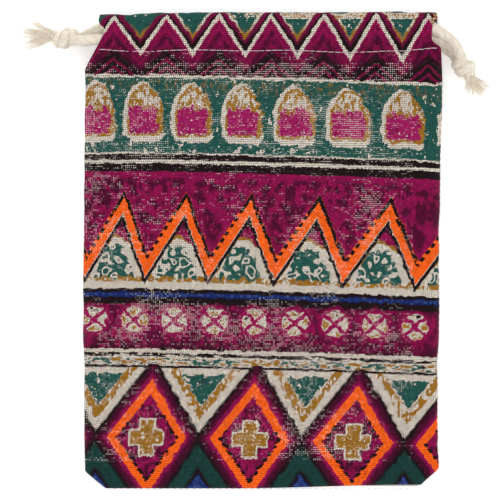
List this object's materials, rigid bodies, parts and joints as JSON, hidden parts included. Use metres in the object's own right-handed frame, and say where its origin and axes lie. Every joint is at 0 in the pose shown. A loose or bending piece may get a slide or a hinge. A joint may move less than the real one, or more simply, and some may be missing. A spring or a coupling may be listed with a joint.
{
  "type": "drawstring dice bag",
  "caption": "Flat cotton drawstring pouch with a printed geometric pattern, a stitched cord casing round its mouth and opposed knotted rope drawcords.",
  "frame": {"origin": "middle of the pouch's footprint, on the surface that its back lies on, the cords not counted", "axes": "+Y from the closed bottom to the mouth, +X to the right seen from the front, +Z out of the front cloth"},
  "size_m": [0.1814, 0.1808, 0.016],
  "materials": {
    "printed_cloth": "plain-weave cotton with a hand-printed geometric pattern",
    "cloth_inside": "reverse of the printed cotton, the print showing through faintly",
    "sewing_thread": "off-white polyester sewing thread",
    "cotton_cord": "soft twisted cotton rope, undyed"
  },
  "bodies": {
    "pouch": {"front_panel": "printed_cloth", "back_panel": "printed_cloth", "front_casing_hem": "cloth_inside", "back_casing_hem": "cloth_inside", "side_seam_allowance": "cloth_inside", "bottom_seam_allowance": "cloth_inside", "front_casing_stitch": "sewing_thread", "back_casing_stitch": "sewing_thread", "side_seam_stitch": "sewing_thread", "bottom_seam_stitch": "sewing_thread"},
    "left_cord": {"left_drawcord": "cotton_cord"},
    "left_tail": {"left_tail_front": "cotton_cord", "left_tail_back": "cotton_cord", "left_knot": "cotton_cord", "left_tassel": "cotton_cord"},
    "right_cord": {"right_drawcord": "cotton_cord"},
    "right_tail": {"right_tail_front": "cotton_cord", "right_tail_back": "cotton_cord", "right_knot": "cotton_cord", "right_tassel": "cotton_cord"}
  },
  "joints": [
    {"name": "left_cord_pull", "type": "slide", "parent": "pouch", "child": "left_cord", "axis": [-1, 0, 0], "range_m": [-0.002, 0.005]},
    {"name": "left_tail_swing", "type": "hinge", "parent": "left_cord", "child": "left_tail", "pos_m": [-0.0668, 0.0812, 0.0066], "axis": [0, 0, 1], "range_deg": [-30, 30]},
    {"name": "right_cord_pull", "type": "slide", "parent": "pouch", "child": "right_cord", "axis": [1, 0, 0], "range_m": [-0.002, 0.005]},
    {"name": "right_tail_swing", "type": "hinge", "parent": "right_cord", "child": "right_tail", "pos_m": [0.0676, 0.0804, 0.0066], "axis": [0, 0, 1], "range_deg": [0, 40]}
  ]
}
